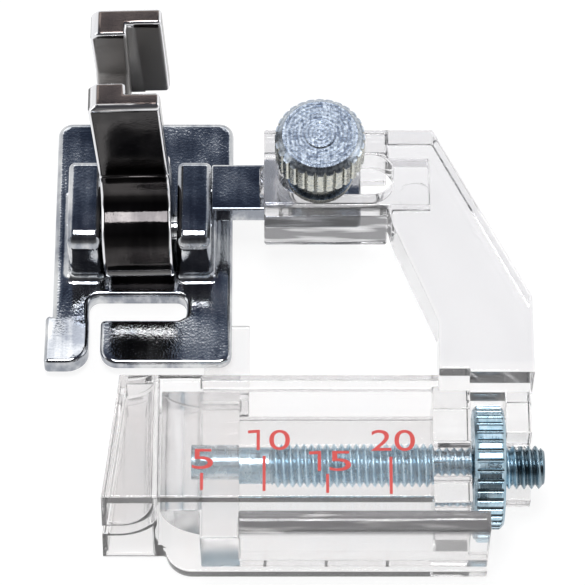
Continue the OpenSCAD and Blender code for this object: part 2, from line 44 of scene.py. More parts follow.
# Places that several pieces share, in millimetres
SCREW_AXIS = (-16.6, 5.3)
KNOB_AXIS = (15.15, 8.175)
GUIDE_TOP = 8.2


# Node helpers

def add_node(tree, kind, place, **settings):
    node = tree.nodes.new(kind)
    node.location = place
    for key, value in settings.items():
        setattr(node, key, value)
    return node


def set_inputs(node, **values):
    """Sets inputs by name, with an underscore for each space."""
    for label, value in values.items():
        node.inputs[label.replace("_", " ")].default_value = value


def wire(tree, a, out, b, into):
    tree.links.new(a.outputs[out], b.inputs[into])


def new_group(name, inputs, outputs):
    tree = bpy.data.node_groups.new(name, "ShaderNodeTree")
    for label, kind, value in inputs:
        socket = tree.interface.new_socket(label, in_out="INPUT", socket_type=kind)
        if value is not None:
            socket.default_value = value
    for label, kind in outputs:
        tree.interface.new_socket(label, in_out="OUTPUT", socket_type=kind)
    return tree


# Shared surface effects

# How much the streaks add to the clouds
STREAK_SHARE = 0.4


def make_handling_marks():
    """Cloudy and streaky unevenness that plated and moulded faces share."""
    tree = new_group(
        "handling_marks",
        [("Coordinates", "NodeSocketVector", None), ("Cloud Scale", "NodeSocketFloat", 300.0),
         ("Streak Scale", "NodeSocketFloat", 1500.0), ("Low", "NodeSocketFloat", 0.05),
         ("High", "NodeSocketFloat", 0.15)],
        [("Value", "NodeSocketFloat"), ("Height", "NodeSocketFloat")])
    start = add_node(tree, "NodeGroupInput", (-900, 0))
    end = add_node(tree, "NodeGroupOutput", (500, 0))
    cloud = add_node(tree, "ShaderNodeTexNoise", (-600, 150))
    cloud.inputs["Detail"].default_value = 4.0
    streak_map = add_node(tree, "ShaderNodeMapping", (-780, -200))
    set_inputs(streak_map, Scale=(1.0, 0.08, 0.35), Rotation=(0.2, 0.1, 0.5))
    streak = add_node(tree, "ShaderNodeTexNoise", (-600, -200))
    streak.inputs["Detail"].default_value = 3.0
    both = add_node(tree, "ShaderNodeMath", (-350, 0), operation="MULTIPLY_ADD")
    both.inputs[1].default_value = STREAK_SHARE
    spread = add_node(tree, "ShaderNodeMapRange", (-100, 100))
    set_inputs(spread, From_Min=0.45, From_Max=0.95)
    wire(tree, start, "Coordinates", cloud, "Vector")
    wire(tree, start, "Cloud Scale", cloud, "Scale")
    wire(tree, start, "Coordinates", streak_map, "Vector")
    wire(tree, streak_map, "Vector", streak, "Vector")
    wire(tree, start, "Streak Scale", streak, "Scale")
    wire(tree, streak, "Fac", both, 0)
    wire(tree, cloud, "Fac", both, 2)
    wire(tree, both, "Value", spread, "Value")
    wire(tree, start, "Low", spread, "To Min")
    wire(tree, start, "High", spread, "To Max")
    wire(tree, spread, "Result", end, "Value")
    wire(tree, both, "Value", end, "Height")
    return tree


def make_turned_rings():
    """Fine rings that a lathe tool leaves round an axis along Z."""
    tree = new_group(
        "turned_rings",
        [("Coordinates", "NodeSocketVector", None), ("Ring Scale", "NodeSocketFloat", 1200.0)],
        [("Height", "NodeSocketFloat")])
    start = add_node(tree, "NodeGroupInput", (-700, 0))
    end = add_node(tree, "NodeGroupOutput", (300, 0))
    rings = add_node(tree, "ShaderNodeTexWave", (-450, 150), wave_type="RINGS", rings_direction="Z")
    set_inputs(rings, Distortion=0.6, Detail=2.0, Detail_Scale=2.0)
    wire(tree, start, "Coordinates", rings, "Vector")
    wire(tree, start, "Ring Scale", rings, "Scale")
    wire(tree, rings, "Fac", end, "Height")
    return tree


HANDLING = make_handling_marks()
RINGS = make_turned_rings()


# Materials

def start_material(name):
    material = bpy.data.materials.new(name)
    material.use_nodes = True
    tree = material.node_tree
    shader = tree.nodes["Principled BSDF"]
    coords = add_node(tree, "ShaderNodeTexCoord", (-1100, 0))
    return material, tree, shader, coords


def place_handling(tree, coords, low, high, cloud, streak):
    """Handling marks whose value runs from low to high."""
    marks = add_node(tree, "ShaderNodeGroup", (-800, 0))
    marks.node_tree = HANDLING
    set_inputs(marks, Cloud_Scale=cloud, Streak_Scale=streak, Low=low, High=high)
    wire(tree, coords, "Object", marks, "Coordinates")
    return marks


def two_tones(tree, marks, shader, dark, light, low, high):
    """Base colour that runs from dark to light as the height of the marks runs from low to high."""
    ramp = add_node(tree, "ShaderNodeValToRGB", (-500, 300))
    ramp.color_ramp.elements[0].position = low
    ramp.color_ramp.elements[0].color = (*dark, 1)
    ramp.color_ramp.elements[1].position = high
    ramp.color_ramp.elements[1].color = (*light, 1)
    wire(tree, marks, "Height", ramp, "Fac")
    wire(tree, ramp, "Color", shader, "Base Color")


def bump_from(tree, source, socket, shader, strength, depth):
    """Bump as deep as the given millimetres."""
    bump = add_node(tree, "ShaderNodeBump", (-300, -250))
    set_inputs(bump, Strength=strength, Distance=depth * MM)
    wire(tree, source, socket, bump, "Height")
    wire(tree, bump, "Normal", shader, "Normal")
    return bump


def dent_bump(tree, coords, place, size, strength, depth, detail=1.0):
    """Bump of soft dents, so many to a metre and as deep as the given millimetres."""
    dents = add_node(tree, "ShaderNodeTexNoise", (place[0] - 250, place[1]))
    set_inputs(dents, Scale=size, Detail=detail)
    bump = add_node(tree, "ShaderNodeBump", place)
    set_inputs(bump, Strength=strength, Distance=depth * MM)
    wire(tree, coords, "Object", dents, "Vector")
    wire(tree, dents, "Fac", bump, "Height")
    return bump


def make_plated(name, dark, light, waviness, paler=()):
    """Chrome plating; each paler zone has its own colour, which is painted light, and is duller by the
    amount given.
    """
    material, tree, shader, coords = start_material(name)
    shader.inputs["Metallic"].default_value = 1.0
    marks = place_handling(tree, coords, low=0.04, high=0.13, cloud=260.0, streak=1500.0)
    two_tones(tree, marks, shader, dark, light, low=0.58, high=0.82)
    wire(tree, marks, "Value", shader, "Roughness")
    pits = dent_bump(tree, coords, (-550, -500), size=5200.0, strength=waviness, depth=0.012)
    wave = dent_bump(tree, coords, (-300, -250), size=330.0, strength=waviness, depth=0.12, detail=0.0)
    wire(tree, pits, "Normal", wave, "Normal")
    wire(tree, wave, "Normal", shader, "Normal")
    # Paler zones: painted light and painted highlights in the base colour
    for k, (zones, colour, matt) in enumerate(paler):
        mask = zone_mask(tree, coords, (-1500, -900 - 1300 * k), zones)
        blend_base(tree, shader, (-150, 300 + 250 * k), mask, colour)
        dull_zone(tree, shader, (-150, -100 - 200 * k), mask, matt)
    return material


# Radii in mm between which the rings of a turned face change from the middle to the outer ones
MIDDLE_RINGS = (1.2, 1.9)
# How much a ring's crest gains in painted highlight for what its groove loses in painted shade
RING_HIGHLIGHT_GAIN = 0.6


def make_zinc(name, tones, turn, centre, valley_shade, rings=(0.0, 0.0), speckle=0.0, tip=None,
              side=(1, 1, 1), cloud=900.0, ring_shading=0.0, ring_scale=1200.0):
    """Bluish zinc plating on a turned piece.

    Sides nearer to the axis than the radii of valley_shade in mm dim to its last value, a painted
    shade in thread roots, knurl valleys and wheel grooves; what lies beyond the tip dims as well,
    a painted shade for the dark that the screw's end reflects. The two ring strengths are for the
    middle and for the outer part, and the side colour tints faces that run along the axis, a
    painted reflection. The speckle is a fine grain, and the ring shading lightens and darkens
    the rings, a painted highlight on their crests and a painted shade in their grooves.
    """
    material, tree, shader, coords = start_material(name)
    shader.inputs["Metallic"].default_value = 1.0
    marks = place_handling(tree, coords, low=0.17, high=0.34, cloud=cloud, streak=6000.0)
    two_tones(tree, marks, shader, *tones, low=0.45, high=0.9)
    wire(tree, marks, "Value", shader, "Roughness")
    spin = add_node(tree, "ShaderNodeMapping", (-900, -350), vector_type="TEXTURE")
    set_inputs(spin, Location=[c * MM for c in centre], Rotation=turn)
    turned = add_node(tree, "ShaderNodeGroup", (-600, -350))
    turned.node_tree = RINGS
    turned.inputs["Ring Scale"].default_value = ring_scale
    wire(tree, coords, "Object", spin, "Vector")
    wire(tree, spin, "Vector", turned, "Coordinates")
    ring_bump = bump_from(tree, turned, "Height", shader, strength=rings[0], depth=0.03)
    grain = dent_bump(tree, coords, (-550, -900), size=4500.0, strength=speckle, depth=0.03)
    wire(tree, grain, "Normal", ring_bump, "Normal")
    flat = add_node(tree, "ShaderNodeVectorMath", (-700, -600), operation="MULTIPLY")
    flat.inputs[1].default_value = (1, 1, 0)
    far = add_node(tree, "ShaderNodeVectorMath", (-500, -600), operation="LENGTH")
    fade = add_node(tree, "ShaderNodeMapRange", (-450, -250))
    set_inputs(fade, From_Min=MIDDLE_RINGS[0] * MM, From_Max=MIDDLE_RINGS[1] * MM,
               To_Min=rings[0], To_Max=rings[1])
    # Painted shade: the colour dims in thread roots, knurl valleys and wheel grooves
    shade = add_node(tree, "ShaderNodeMapRange", (-300, -600))
    set_inputs(shade, From_Min=valley_shade[0] * MM, From_Max=valley_shade[1] * MM, To_Min=valley_shade[2])
    wire(tree, spin, "Vector", flat, 0)
    wire(tree, flat, "Vector", far, 0)
    wire(tree, far, "Value", fade, "Value")
    wire(tree, fade, "Result", ring_bump, "Strength")
    wire(tree, far, "Value", shade, "Value")
    along = add_node(tree, "ShaderNodeVectorMath", (-700, -800), operation="DOT_PRODUCT")
    along.inputs[1].default_value = (math.sin(turn[1]), 0, math.cos(turn[1]))
    level = add_node(tree, "ShaderNodeMath", (-500, -800), operation="ABSOLUTE")
    lift = add_node(tree, "ShaderNodeMath", (-150, -600), operation="MAXIMUM")
    wire(tree, coords, "Normal", along, 0)
    wire(tree, along, "Value", level, 0)
    wire(tree, shade, "Result", lift, 0)
    wire(tree, level, "Value", lift, 1)
    last = lift
    # Painted shade past the tip, for the dark that the screw's end reflects
    if tip:
        split = add_node(tree, "ShaderNodeSeparateXYZ", (-700, -1050))
        end = add_node(tree, "ShaderNodeMapRange", (-450, -1050))
        set_inputs(end, From_Min=tip[0] * MM, From_Max=tip[1] * MM, To_Min=1.0, To_Max=tip[2])
        last = add_node(tree, "ShaderNodeMath", (0, -700), operation="MULTIPLY")
        wire(tree, coords, "Object", split, "Vector")
        wire(tree, split, "X", end, "Value")
        wire(tree, end, "Result", last, 0)
        wire(tree, lift, "Value", last, 1)
    dim = add_node(tree, "ShaderNodeVectorMath", (-150, 300), operation="SCALE")
    wire(tree, shader.inputs["Base Color"].links[0].from_node, "Color", dim, 0)
    wire(tree, last, "Value", dim, "Scale")
    # Faces along the axis take the side colour, a painted reflection
    tint = add_node(tree, "ShaderNodeMixRGB", (0, 500))
    tint.inputs["Color1"].default_value = (*side, 1)
    tint.inputs["Color2"].default_value = (1, 1, 1, 1)
    tinted = add_node(tree, "ShaderNodeVectorMath", (150, 400), operation="MULTIPLY")
    wire(tree, level, "Value", tint, "Fac")
    wire(tree, dim, "Vector", tinted, 0)
    wire(tree, tint, "Color", tinted, 1)
    # Painted highlight on the crests of the rings and painted shade in their grooves
    groove = add_node(tree, "ShaderNodeMapRange", (150, 700))
    set_inputs(groove, To_Min=1.0 - ring_shading, To_Max=1.0 + RING_HIGHLIGHT_GAIN * ring_shading)
    grooved = add_node(tree, "ShaderNodeVectorMath", (300, 500), operation="SCALE")
    wire(tree, turned, "Height", groove, "Value")
    wire(tree, tinted, "Vector", grooved, 0)
    wire(tree, groove, "Result", grooved, "Scale")
    wire(tree, grooved, "Vector", shader, "Base Color")
    return material


def zone_mask(tree, coords, place, zones):
    """One where each named value has passed from its first to its second limit.

    X, Y and Z are places in mm; NX and NZ are the sizes of the parts of the face normal.
    """
    mask = None
    for k, (axis, start, stop) in enumerate(zones):
        x, y = place[0], place[1] - 250 * k
        facing = axis.startswith("N")
        split = add_node(tree, "ShaderNodeSeparateXYZ", (x, y))
        wire(tree, coords, "Normal" if facing else "Object", split, "Vector")
        value = split.outputs[axis[-1]]
        if facing:
            size = add_node(tree, "ShaderNodeMath", (x + 200, y), operation="ABSOLUTE")
            tree.links.new(value, size.inputs[0])
            value = size.outputs["Value"]
        unit = 1.0 if facing else MM
        step = add_node(tree, "ShaderNodeMapRange", (x + 400, y))
        set_inputs(step, From_Min=start * unit, From_Max=stop * unit)
        tree.links.new(value, step.inputs["Value"])
        if mask is None:
            mask = step
            continue
        both = add_node(tree, "ShaderNodeMath", (x + 600, y), operation="MULTIPLY")
        wire(tree, mask, 0, both, 0)
        wire(tree, step, 0, both, 1)
        mask = both
    return mask


def blend_base(tree, shader, place, mask, colour):
    """Turns the base colour to another where the mask is one."""
    blend = add_node(tree, "ShaderNodeMixRGB", place)
    blend.inputs["Color2"].default_value = (*colour, 1)
    wire(tree, mask, 0, blend, "Fac")
    wire(tree, shader.inputs["Base Color"].links[0].from_node, "Color", blend, "Color1")
    wire(tree, blend, "Color", shader, "Base Color")


def dull_zone(tree, shader, place, mask, amount):
    """Adds to the roughness where the mask is one."""
    dull = add_node(tree, "ShaderNodeMath", place, operation="MULTIPLY_ADD")
    dull.inputs[1].default_value = amount
    wire(tree, mask, 0, dull, 0)
    tree.links.new(shader.inputs["Roughness"].links[0].from_socket, dull.inputs[2])
    wire(tree, dull, 0, shader, "Roughness")


CLEAR_TONES = ((0.975, 0.955, 0.95), (0.965, 0.965, 0.97))
# Greyer tone of the band in front of the arm, a painted shade
ARM_BAND_SHADE = (0.88, 0.875, 0.89)
STREAK_GREY = (0.05, 0.05, 0.055)
# How the noise of the grey streaks is squeezed along each axis
STREAK_SQUEEZE = (120.0, 2600.0, 900.0)


def make_clear_plastic(name, streaked, onset, cloudy, deep=None):
    """Clear moulding with grey streaks along X in the streaked zone.

    The onset is the noise value from which a streak shows. The cloudy zone is rougher by the
    amount given with it, and the deep zone is greyer, a painted shade.
    """
    material, tree, shader, coords = start_material(name)
    set_inputs(shader, Transmission_Weight=0.95, IOR=1.45)
    marks = place_handling(tree, coords, low=0.0, high=0.03, cloud=140.0, streak=500.0)
    two_tones(tree, marks, shader, *CLEAR_TONES, low=0.4, high=0.95)
    wire(tree, marks, "Value", shader, "Roughness")
    bump_from(tree, marks, "Height", shader, strength=0.08, depth=0.04)
    cloudy_zone, roughness = cloudy
    dull_zone(tree, shader, (-150, -100), zone_mask(tree, coords, (-900, 1900), cloudy_zone), roughness)
    if deep:
        band_shade_mask = zone_mask(tree, coords, (-900, 1300), deep)
        blend_base(tree, shader, (-250, 300), band_shade_mask, ARM_BAND_SHADE)
    stretch = add_node(tree, "ShaderNodeMapping", (-900, 600))
    stretch.inputs["Scale"].default_value = STREAK_SQUEEZE
    streak = add_node(tree, "ShaderNodeTexNoise", (-700, 600))
    streak.inputs["Scale"].default_value = 1.0
    dark = add_node(tree, "ShaderNodeMapRange", (-500, 600))
    set_inputs(dark, From_Min=onset, From_Max=onset + 0.16, To_Max=0.95)
    both = add_node(tree, "ShaderNodeMath", (-300, 700), operation="MULTIPLY")
    wire(tree, coords, "Object", stretch, "Vector")
    wire(tree, stretch, "Vector", streak, "Vector")
    wire(tree, streak, "Fac", dark, "Value")
    wire(tree, zone_mask(tree, coords, (-900, 850), streaked), 0, both, 0)
    wire(tree, dark, "Result", both, 1)
    blend_base(tree, shader, (-150, 450), both, STREAK_GREY)
    return material


def make_scale_ink():
    material, tree, shader, coords = start_material("red_scale_ink")
    marks = place_handling(tree, coords, low=0.35, high=0.6, cloud=1500.0, streak=3000.0)
    two_tones(tree, marks, shader, (0.58, 0.035, 0.03), (0.68, 0.07, 0.06), low=0.4, high=0.9)
    wire(tree, marks, "Value", shader, "Roughness")
    return material


# Finishes: chrome; the ankle's chrome, whose dark base colour is a painted dark reflection, with
# painted highlights on its side and clamp rims and painted light on the bar's seat and on the clamp top
CHROME = make_plated("plated_chrome", (0.27, 0.29, 0.33), (0.66, 0.67, 0.68), 0.62)
# Painted highlight on the ankle's side edges and on the rims of the clamp top
RIM_HIGHLIGHT = (0.8, 0.8, 0.82)
# Painted light on the walls of the ankle's seat for the carrier bar
SEAT_PAINTED_LIGHT = (0.30, 0.29, 0.285)
# Painted light on the top faces of the ankle's clamp
CLAMP_TOP_PAINTED_LIGHT = (0.16, 0.13, 0.12)
SIDE_RIMS = [("NX", 0.25, 0.45), ("NX", 0.97, 0.88)]
BAR_SEAT = [("X", -3.1, -2.9), ("Y", 7.6, 7.7), ("Y", 14.3, 14.2), ("Z", 12.4, 12.7), ("Z", 22.8, 22.6)]
CLAMP_RIMS = [("Z", 22.4, 22.6), ("NZ", 0.25, 0.45), ("NZ", 0.97, 0.88)]
CLAMP_TOP = [("Z", 22.4, 22.6), ("NZ", 0.93, 0.98)]
# The ankle's base colour, far darker than chrome, is a painted dark reflection of its surroundings
ANKLE_CHROME_PAINTED_DARK = make_plated("plated_ankle_painted_dark", (0.03, 0.028, 0.029), (0.06, 0.056, 0.056), 0.3,
                          [(SIDE_RIMS, RIM_HIGHLIGHT, 0.0), (BAR_SEAT, SEAT_PAINTED_LIGHT, 0.35),
                           (CLAMP_RIMS, RIM_HIGHLIGHT, 0.0), (CLAMP_TOP, CLAMP_TOP_PAINTED_LIGHT, 0.12)])
# Finishes: zinc of the turned pieces, whose axes lie along X or stand upright
SIDEWAYS = (0, math.pi / 2, 0)
UPRIGHT = (0, 0, 0)
TEAL_TONES = ((0.32, 0.50, 0.62), (0.62, 0.78, 0.88))
BLUE_TONES = ((0.32, 0.40, 0.54), (0.70, 0.78, 0.88))
# Warm tint on the knurl's sides, a painted reflection
KNURL_REFLECTION_TINT = (1.0, 0.88, 0.68)
# The radii below dim the grooves as painted shade, and the screw's tip dims as painted shade too
ZINC_SCREW = make_zinc("zinc_screw", TEAL_TONES, SIDEWAYS, (0, *SCREW_AXIS), (1.42, 1.66, 0.6),
                       tip=(30.4, 31.0, 0.5))
ZINC_KNOB = make_zinc("zinc_knob", BLUE_TONES, UPRIGHT, (*KNOB_AXIS, 0), (3.42, 3.6, 0.4),
                      rings=(0.22, 0.12), speckle=0.5, side=KNURL_REFLECTION_TINT, cloud=3600.0,
                      ring_shading=0.22, ring_scale=1000.0)
ZINC_WHEEL = make_zinc("zinc_wheel", TEAL_TONES, SIDEWAYS, (0, *SCREW_AXIS), (4.82, 4.95, 0.2),
                       rings=(0.1, 0.1))
# Finishes: clear mouldings and the ink of the scale
FRAME_STREAKS = [("Y", 5.4, 5.2), ("Y", 4.0, 4.9), ("X", 21.0, 20.7)]
CLOUDY_LIPS = [("X", 2.6, 2.2), ("Y", -9.0, -9.5)]
# Band in front of the arm that is greyed as a painted shade
ARM_BAND_SHADE_ZONE = [("Y", -9.6, -9.0)]
RAIL_STREAKS = [("Z", 7.4, 8.0)]
CLOUDY_NOSE = [("X", 8.8, 7.8)]
CLEAR_FRAME = make_clear_plastic("clear_frame", FRAME_STREAKS, 0.39, (CLOUDY_LIPS, 0.05), ARM_BAND_SHADE_ZONE)
CLEAR_SLIDER = make_clear_plastic("clear_slider", RAIL_STREAKS, 0.28, (CLOUDY_NOSE, 0.14))
INK = make_scale_ink()


# Pieces

def add_object(name, data):
    obj = bpy.data.objects.new(name, data)
    scene.collection.objects.link(obj)
    return obj


def coat(mesh, material):
    mesh.materials.clear()
    mesh.materials.append(material)


def link_piece(name, mesh, material, body, node=None):
    """Finished piece on its body, standing for a CAD node where one is given."""
    obj = add_object(name, mesh)
    coat(mesh, material)
    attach(obj, body)
    if node:
        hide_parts(node)


def finished_mesh(draft, name):
    """Plain mesh of a draft with its modifiers worked in; the draft itself is removed."""
    depsgraph = bpy.context.evaluated_depsgraph_get()
    mesh = bpy.data.meshes.new_from_object(draft.evaluated_get(depsgraph))
    mesh.name = name
    bpy.data.objects.remove(draft)
    return mesh


def even_normals(draft):
    even = draft.modifiers.new("even", "WEIGHTED_NORMAL")
    even.keep_sharp = True


# Rounding of the edges of CAD nodes, with sizes in mm
# Edges that bend more than this are rounded, in so many steps
BEND_ANGLE = math.radians(24)
EDGE_STEPS = 3
# Faces that bend less than this are joined, and points nearer than this are one
FLAT_ANGLE = math.radians(0.6)
MERGE_GAP = 0.002
# Depths smaller than this are none
TOUCHING = 0.0001
# Places along an edge where the room beside it is measured
PROBES = (0.12, 0.5, 0.88)
# Share of a face that one rounding may take, and the narrowest rounding that is kept
FACE_SHARE = 0.45
NARROWEST = 0.02
# Edges that run on from each other have directions that agree this well
RUN_ON = 0.82
# Faces wider than this are shaded flat
WIDE_FACE = 1.0
# A fold is an edge bent more than this between faces wider than this
FOLD_ANGLE = math.radians(135)
FOLD_WIDTH = 0.06
# Roundings that come this near to a fold are left out, and the rest is tried again so often
FOLD_REACH = 0.02
FOLD_TRIES = 5
# How far sunk faces lie below those of the CAD node
HAIR = 0.01


def free_width(edge, face):
    """How far a face reaches inwards from one of its edges, at three places along the edge."""
    a, b = edge.verts[0].co, edge.verts[1].co
    along = (b - a).normalized()
    loop = next(corner for corner in edge.link_loops if corner.face is face)
    inward = face.normal.cross(loop.link_loop_next.vert.co - loop.vert.co).normalized()
    best = math.inf
    for other in face.edges:
        if any(vert in edge.verts for vert in other.verts):
            continue
        for part in PROBES:
            start = a.lerp(b, part)
            p, q = other.verts[0].co - start, other.verts[1].co - start
            p_along, q_along = p.dot(along), q.dot(along)
            if (p_along > 0) == (q_along > 0):
                continue
            share = p_along / (p_along - q_along)
            depth = p.dot(inward) * (1 - share) + q.dot(inward) * share
            if depth > TOUCHING * MM:
                best = min(best, depth)
    return best


def fit_widths(widths):
    """Narrows each rounding to what its two faces can take, evenly along a run of edges."""
    for edge, width in widths.items():
        if width > 0:
            room = [FACE_SHARE * free_width(edge, face) / MM for face in edge.link_faces]
            widths[edge] = min([width] + room)
    changed = True
    while changed:
        changed = False
        for edge in widths:
            for vert in edge.verts:
                ahead = (vert.co - edge.other_vert(vert).co).normalized()
                for other in vert.link_edges:
                    if other is edge or not 0 < widths.get(other, 0) < widths[edge] - 1e-6:
                        continue
                    onward = (other.other_vert(vert).co - vert.co).normalized()
                    if ahead.dot(onward) > RUN_ON:
                        widths[edge] = widths[other]
                        changed = True
    for edge, width in widths.items():
        if width < NARROWEST:
            widths[edge] = 0.0


def rounded_mesh(work, widths, weight, name):
    """Plain mesh of the draft with each edge rounded to its width."""
    widest = max(widths.values())
    for edge, width in widths.items():
        edge[weight] = width / widest
        edge.smooth = width > 0
    sharp = bpy.data.meshes.new(name + "_draft")
    work.to_mesh(sharp)
    draft = add_object(name + "_draft", sharp)
    ease = draft.modifiers.new("ease", "BEVEL")
    ease.width = widest * MM
    ease.segments = EDGE_STEPS
    ease.limit_method = "WEIGHT"
    ease.use_clamp_overlap = False
    ease.loop_slide = True
    even_normals(draft)
    mesh = finished_mesh(draft, name)
    bpy.data.meshes.remove(sharp)
    return mesh


def settle_normals(mesh):
    """Keeps wide faces flat in the shading, so that only the roundings and curves are smooth."""
    normals = [corner.vector.copy() for corner in mesh.corner_normals]
    for face in mesh.polygons:
        longest = max((mesh.vertices[a].co - mesh.vertices[b].co).length for a, b in face.edge_keys)
        if face.area / longest > WIDE_FACE * MM:
            for corner in face.loop_indices:
                normals[corner] = face.normal.copy()
    mesh.normals_split_custom_set(normals)


def folded_places(mesh):
    """Ends and middles of edges where the rounding has folded a face back over its neighbour."""
    work = bmesh.new()
    work.from_mesh(mesh)
    bmesh.ops.triangulate(work, faces=work.faces)
    places = []
    for edge in work.edges:
        if len(edge.link_faces) == 2 and edge.calc_face_angle(0.0) > FOLD_ANGLE:
            thin = min(2 * face.calc_area() / max(side.calc_length() for side in face.edges)
                       for face in edge.link_faces)
            if thin > FOLD_WIDTH * MM:
                ends = [vert.co.copy() for vert in edge.verts]
                places += ends + [(ends[0] + ends[1]) / 2]
    work.free()
    return places


def near_edge(edge, place, reach):
    """Whether a place lies within reach of an edge."""
    a, b = (vert.co for vert in edge.verts)
    span = b - a
    share = min(1.0, max(0.0, (place - a).dot(span) / span.length_squared))
    return (a + span * share - place).length < reach


def eased_node(node, body, material, rule, sunk=None):
    """The CAD node's own shape with its sharp edges rounded; the rule gives each radius in mm.

    Roundings that fold are left out. Faces above the sunk height in mm lie a hair lower, clear
    of the piece that rests on them.
    """
    work = bmesh.new()
    work.from_mesh(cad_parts[node].data)
    bmesh.ops.remove_doubles(work, verts=work.verts, dist=MERGE_GAP * MM)
    bmesh.ops.dissolve_limit(work, angle_limit=FLAT_ANGLE, use_dissolve_boundaries=False,
                             verts=work.verts, edges=work.edges)
    weight = work.edges.layers.float.new("bevel_weight_edge")
    widths = {}
    for edge in work.edges:
        middle = (edge.verts[0].co + edge.verts[1].co) / (2 * MM)
        if edge.calc_face_angle(0.0) > BEND_ANGLE:
            widths[edge] = rule(middle, edge)
    fit_widths(widths)
    for face in work.faces:
        face.smooth = True
    for vert in work.verts:
        if sunk and vert.co.z > sunk * MM:
            vert.co.z -= HAIR * MM
    for tries_left in reversed(range(FOLD_TRIES)):
        mesh = rounded_mesh(work, widths, weight, node + "_eased")
        places = folded_places(mesh)
        if not places or not tries_left:
            break
        bpy.data.meshes.remove(mesh)
        for edge, width in widths.items():
            reach = (width / 2 + FOLD_REACH) * MM
            if width > 0 and any(near_edge(edge, place, reach) for place in places):
                widths[edge] = 0.0
    work.free()
    settle_normals(mesh)
    link_piece(node + "_eased", mesh, material, body, node)


# Radius of each kind of edge, in mm
ANKLE_EDGE = 0.32
BAR_EDGE = 0.2
SLIDER_EDGE = 0.14
GUIDE_EDGE = 0.14
LIP_EDGE = 0.2
ARM_EDGE = 0.2
ARM_RIM_EDGE = 0.3
# The arm lies behind this, and its top and bottom rims lie above and below these heights
ARM_FRONT = -9.0
ARM_RIMS = (3.0, 9.5)
LIPS_RIGHT = 4.0
# Moulding mark on the arm: middle and radius
MOULDING_MARK = (23.0, 6.0, 1.34)
# Inner corner between arm and guide: its left, front and rear
ARM_ROOT = (24.5, -11.0, -8.9)


def same_edges(radius):
    """Rule that gives every edge the same radius."""
    return lambda p, edge: radius


def frame_edges(p, edge):
    x, y, mark_radius = MOULDING_MARK
    root_left, root_front, root_rear = ARM_ROOT
    on_mark = abs(math.hypot(p.x - x, p.y - y) - mark_radius) < 0.1
    at_root = p.x > root_left and root_front < p.y < root_rear
    if on_mark or (at_root and edge.calc_face_angle_signed(0.0) < 0):
        return 0.0
    if p.y > ARM_FRONT:
        return ARM_EDGE if ARM_RIMS[0] <= p.z <= ARM_RIMS[1] else ARM_RIM_EDGE
    return LIP_EDGE if p.x < LIPS_RIGHT else GUIDE_EDGE


def arc(cx, cy, r, a0, a1, steps=8):
    """Points of an arc, angles in degrees."""
    turns = [math.radians(a0 + (a1 - a0) * k / steps) for k in range(steps + 1)]
    return [(cx + r * math.cos(a), cy + r * math.sin(a)) for a in turns]


# Sole plate, drawn flat in mm and then bent at the crease
CREASE = -0.94
LEFT_RISE = math.radians(8.0)
RIGHT_RISE = math.radians(3.0)
TOE_SLIT = -3.5
TOE_RELIEF = 0.6
SOLE_T = 1.5
SOLE_CHAMFER = 0.12
SOLE_ROUND = 0.45
TOE_ROUND = 0.34
# Angles of a quarter round, in even steps
ROUND_STEPS = 6
QUARTER = [math.pi / 2 * step / ROUND_STEPS for step in range(ROUND_STEPS + 1)]
SOLE_OUTLINE = (
    [(-7.15, CREASE), (-7.3, CREASE)] + arc(-7.3, -1.34, 0.4, 100, 180, 4)
    + arc(-7.3, -5.35, 0.4, 180, 270, 4) + arc(-5.85, -3.95, 1.8, 270, 360)
    + [(-4.05, -1.6), (-4.1, CREASE)] + arc(-3.2, 0.15, 0.9, 180, 90) + arc(3.15, 0.15, 0.9, 90, 0)
    + arc(3.15, -0.35, 0.9, 0, -90) + arc(-2.7, -1.65, 0.4, 90, 180, 4)
    + arc(-1.6, -4.0, 1.5, 180, 270) + arc(6.75, -4.4, 1.1, 270, 360)
    + [(7.85, CREASE)] + arc(6.65, 16.7, 1.2, 0, 90) + arc(-5.95, 16.7, 1.2, 90, 180))
# Ears: left, right, front, rear, outset of the base fillet at left and right
EAR_FILLET = 0.7
EARS = [(-5.76, -2.925, 2.8, 10.7, EAR_FILLET, 0.12), (3.325, 6.16, 2.8, 10.7, 0.12, EAR_FILLET)]
EAR_TOP = 7.4
# Corner radius of an ear, and its growth for each mm of outset
EAR_CORNER = 0.55
CORNER_GROWTH = 0.6
# Rounding along the top of an ear, and how much more there is at its front
EAR_ROUND = 0.5
EAR_FRONT = 0.9
# Edges are sharp above the first bend, and near the crease on top above the second
SHARP_BEND = math.radians(35)
CREASE_BEND = math.radians(4)
CREASE_BAND = 0.12
CREASE_HEIGHT = 1.4


def inset_outline(points, depth):
    """Moves each point of a loop that runs anticlockwise inwards by its depth."""
    moved = []
    for k, point in enumerate(points):
        here = Vector(point)
        before = (here - Vector(points[k - 1])).normalized()
        after = (Vector(points[(k + 1) % len(points)]) - here).normalized()
        n0, n1 = Vector((-before.y, before.x)), Vector((-after.y, after.x))
        moved.append(here + (n0 + n1) * depth[k] / (1.0 + n0.dot(n1)))
    return moved


def ear_ring(ear, grow, radius):
    """Plan of an ear, grown outwards, with rounded corners."""
    x0, x1, y0, y1, left, right = ear
    x0, x1 = x0 - grow * left / EAR_FILLET, x1 + grow * right / EAR_FILLET
    y0, y1 = y0 - grow, y1 + grow
    r = radius
    return (arc(x0 + r, y0 + r, r, 180, 270, 6) + arc(x1 - r, y0 + r, r, 270, 360, 6)
            + arc(x1 - r, y1 - r, r, 0, 90, 6) + arc(x0 + r, y1 - r, r, 90, 180, 6))


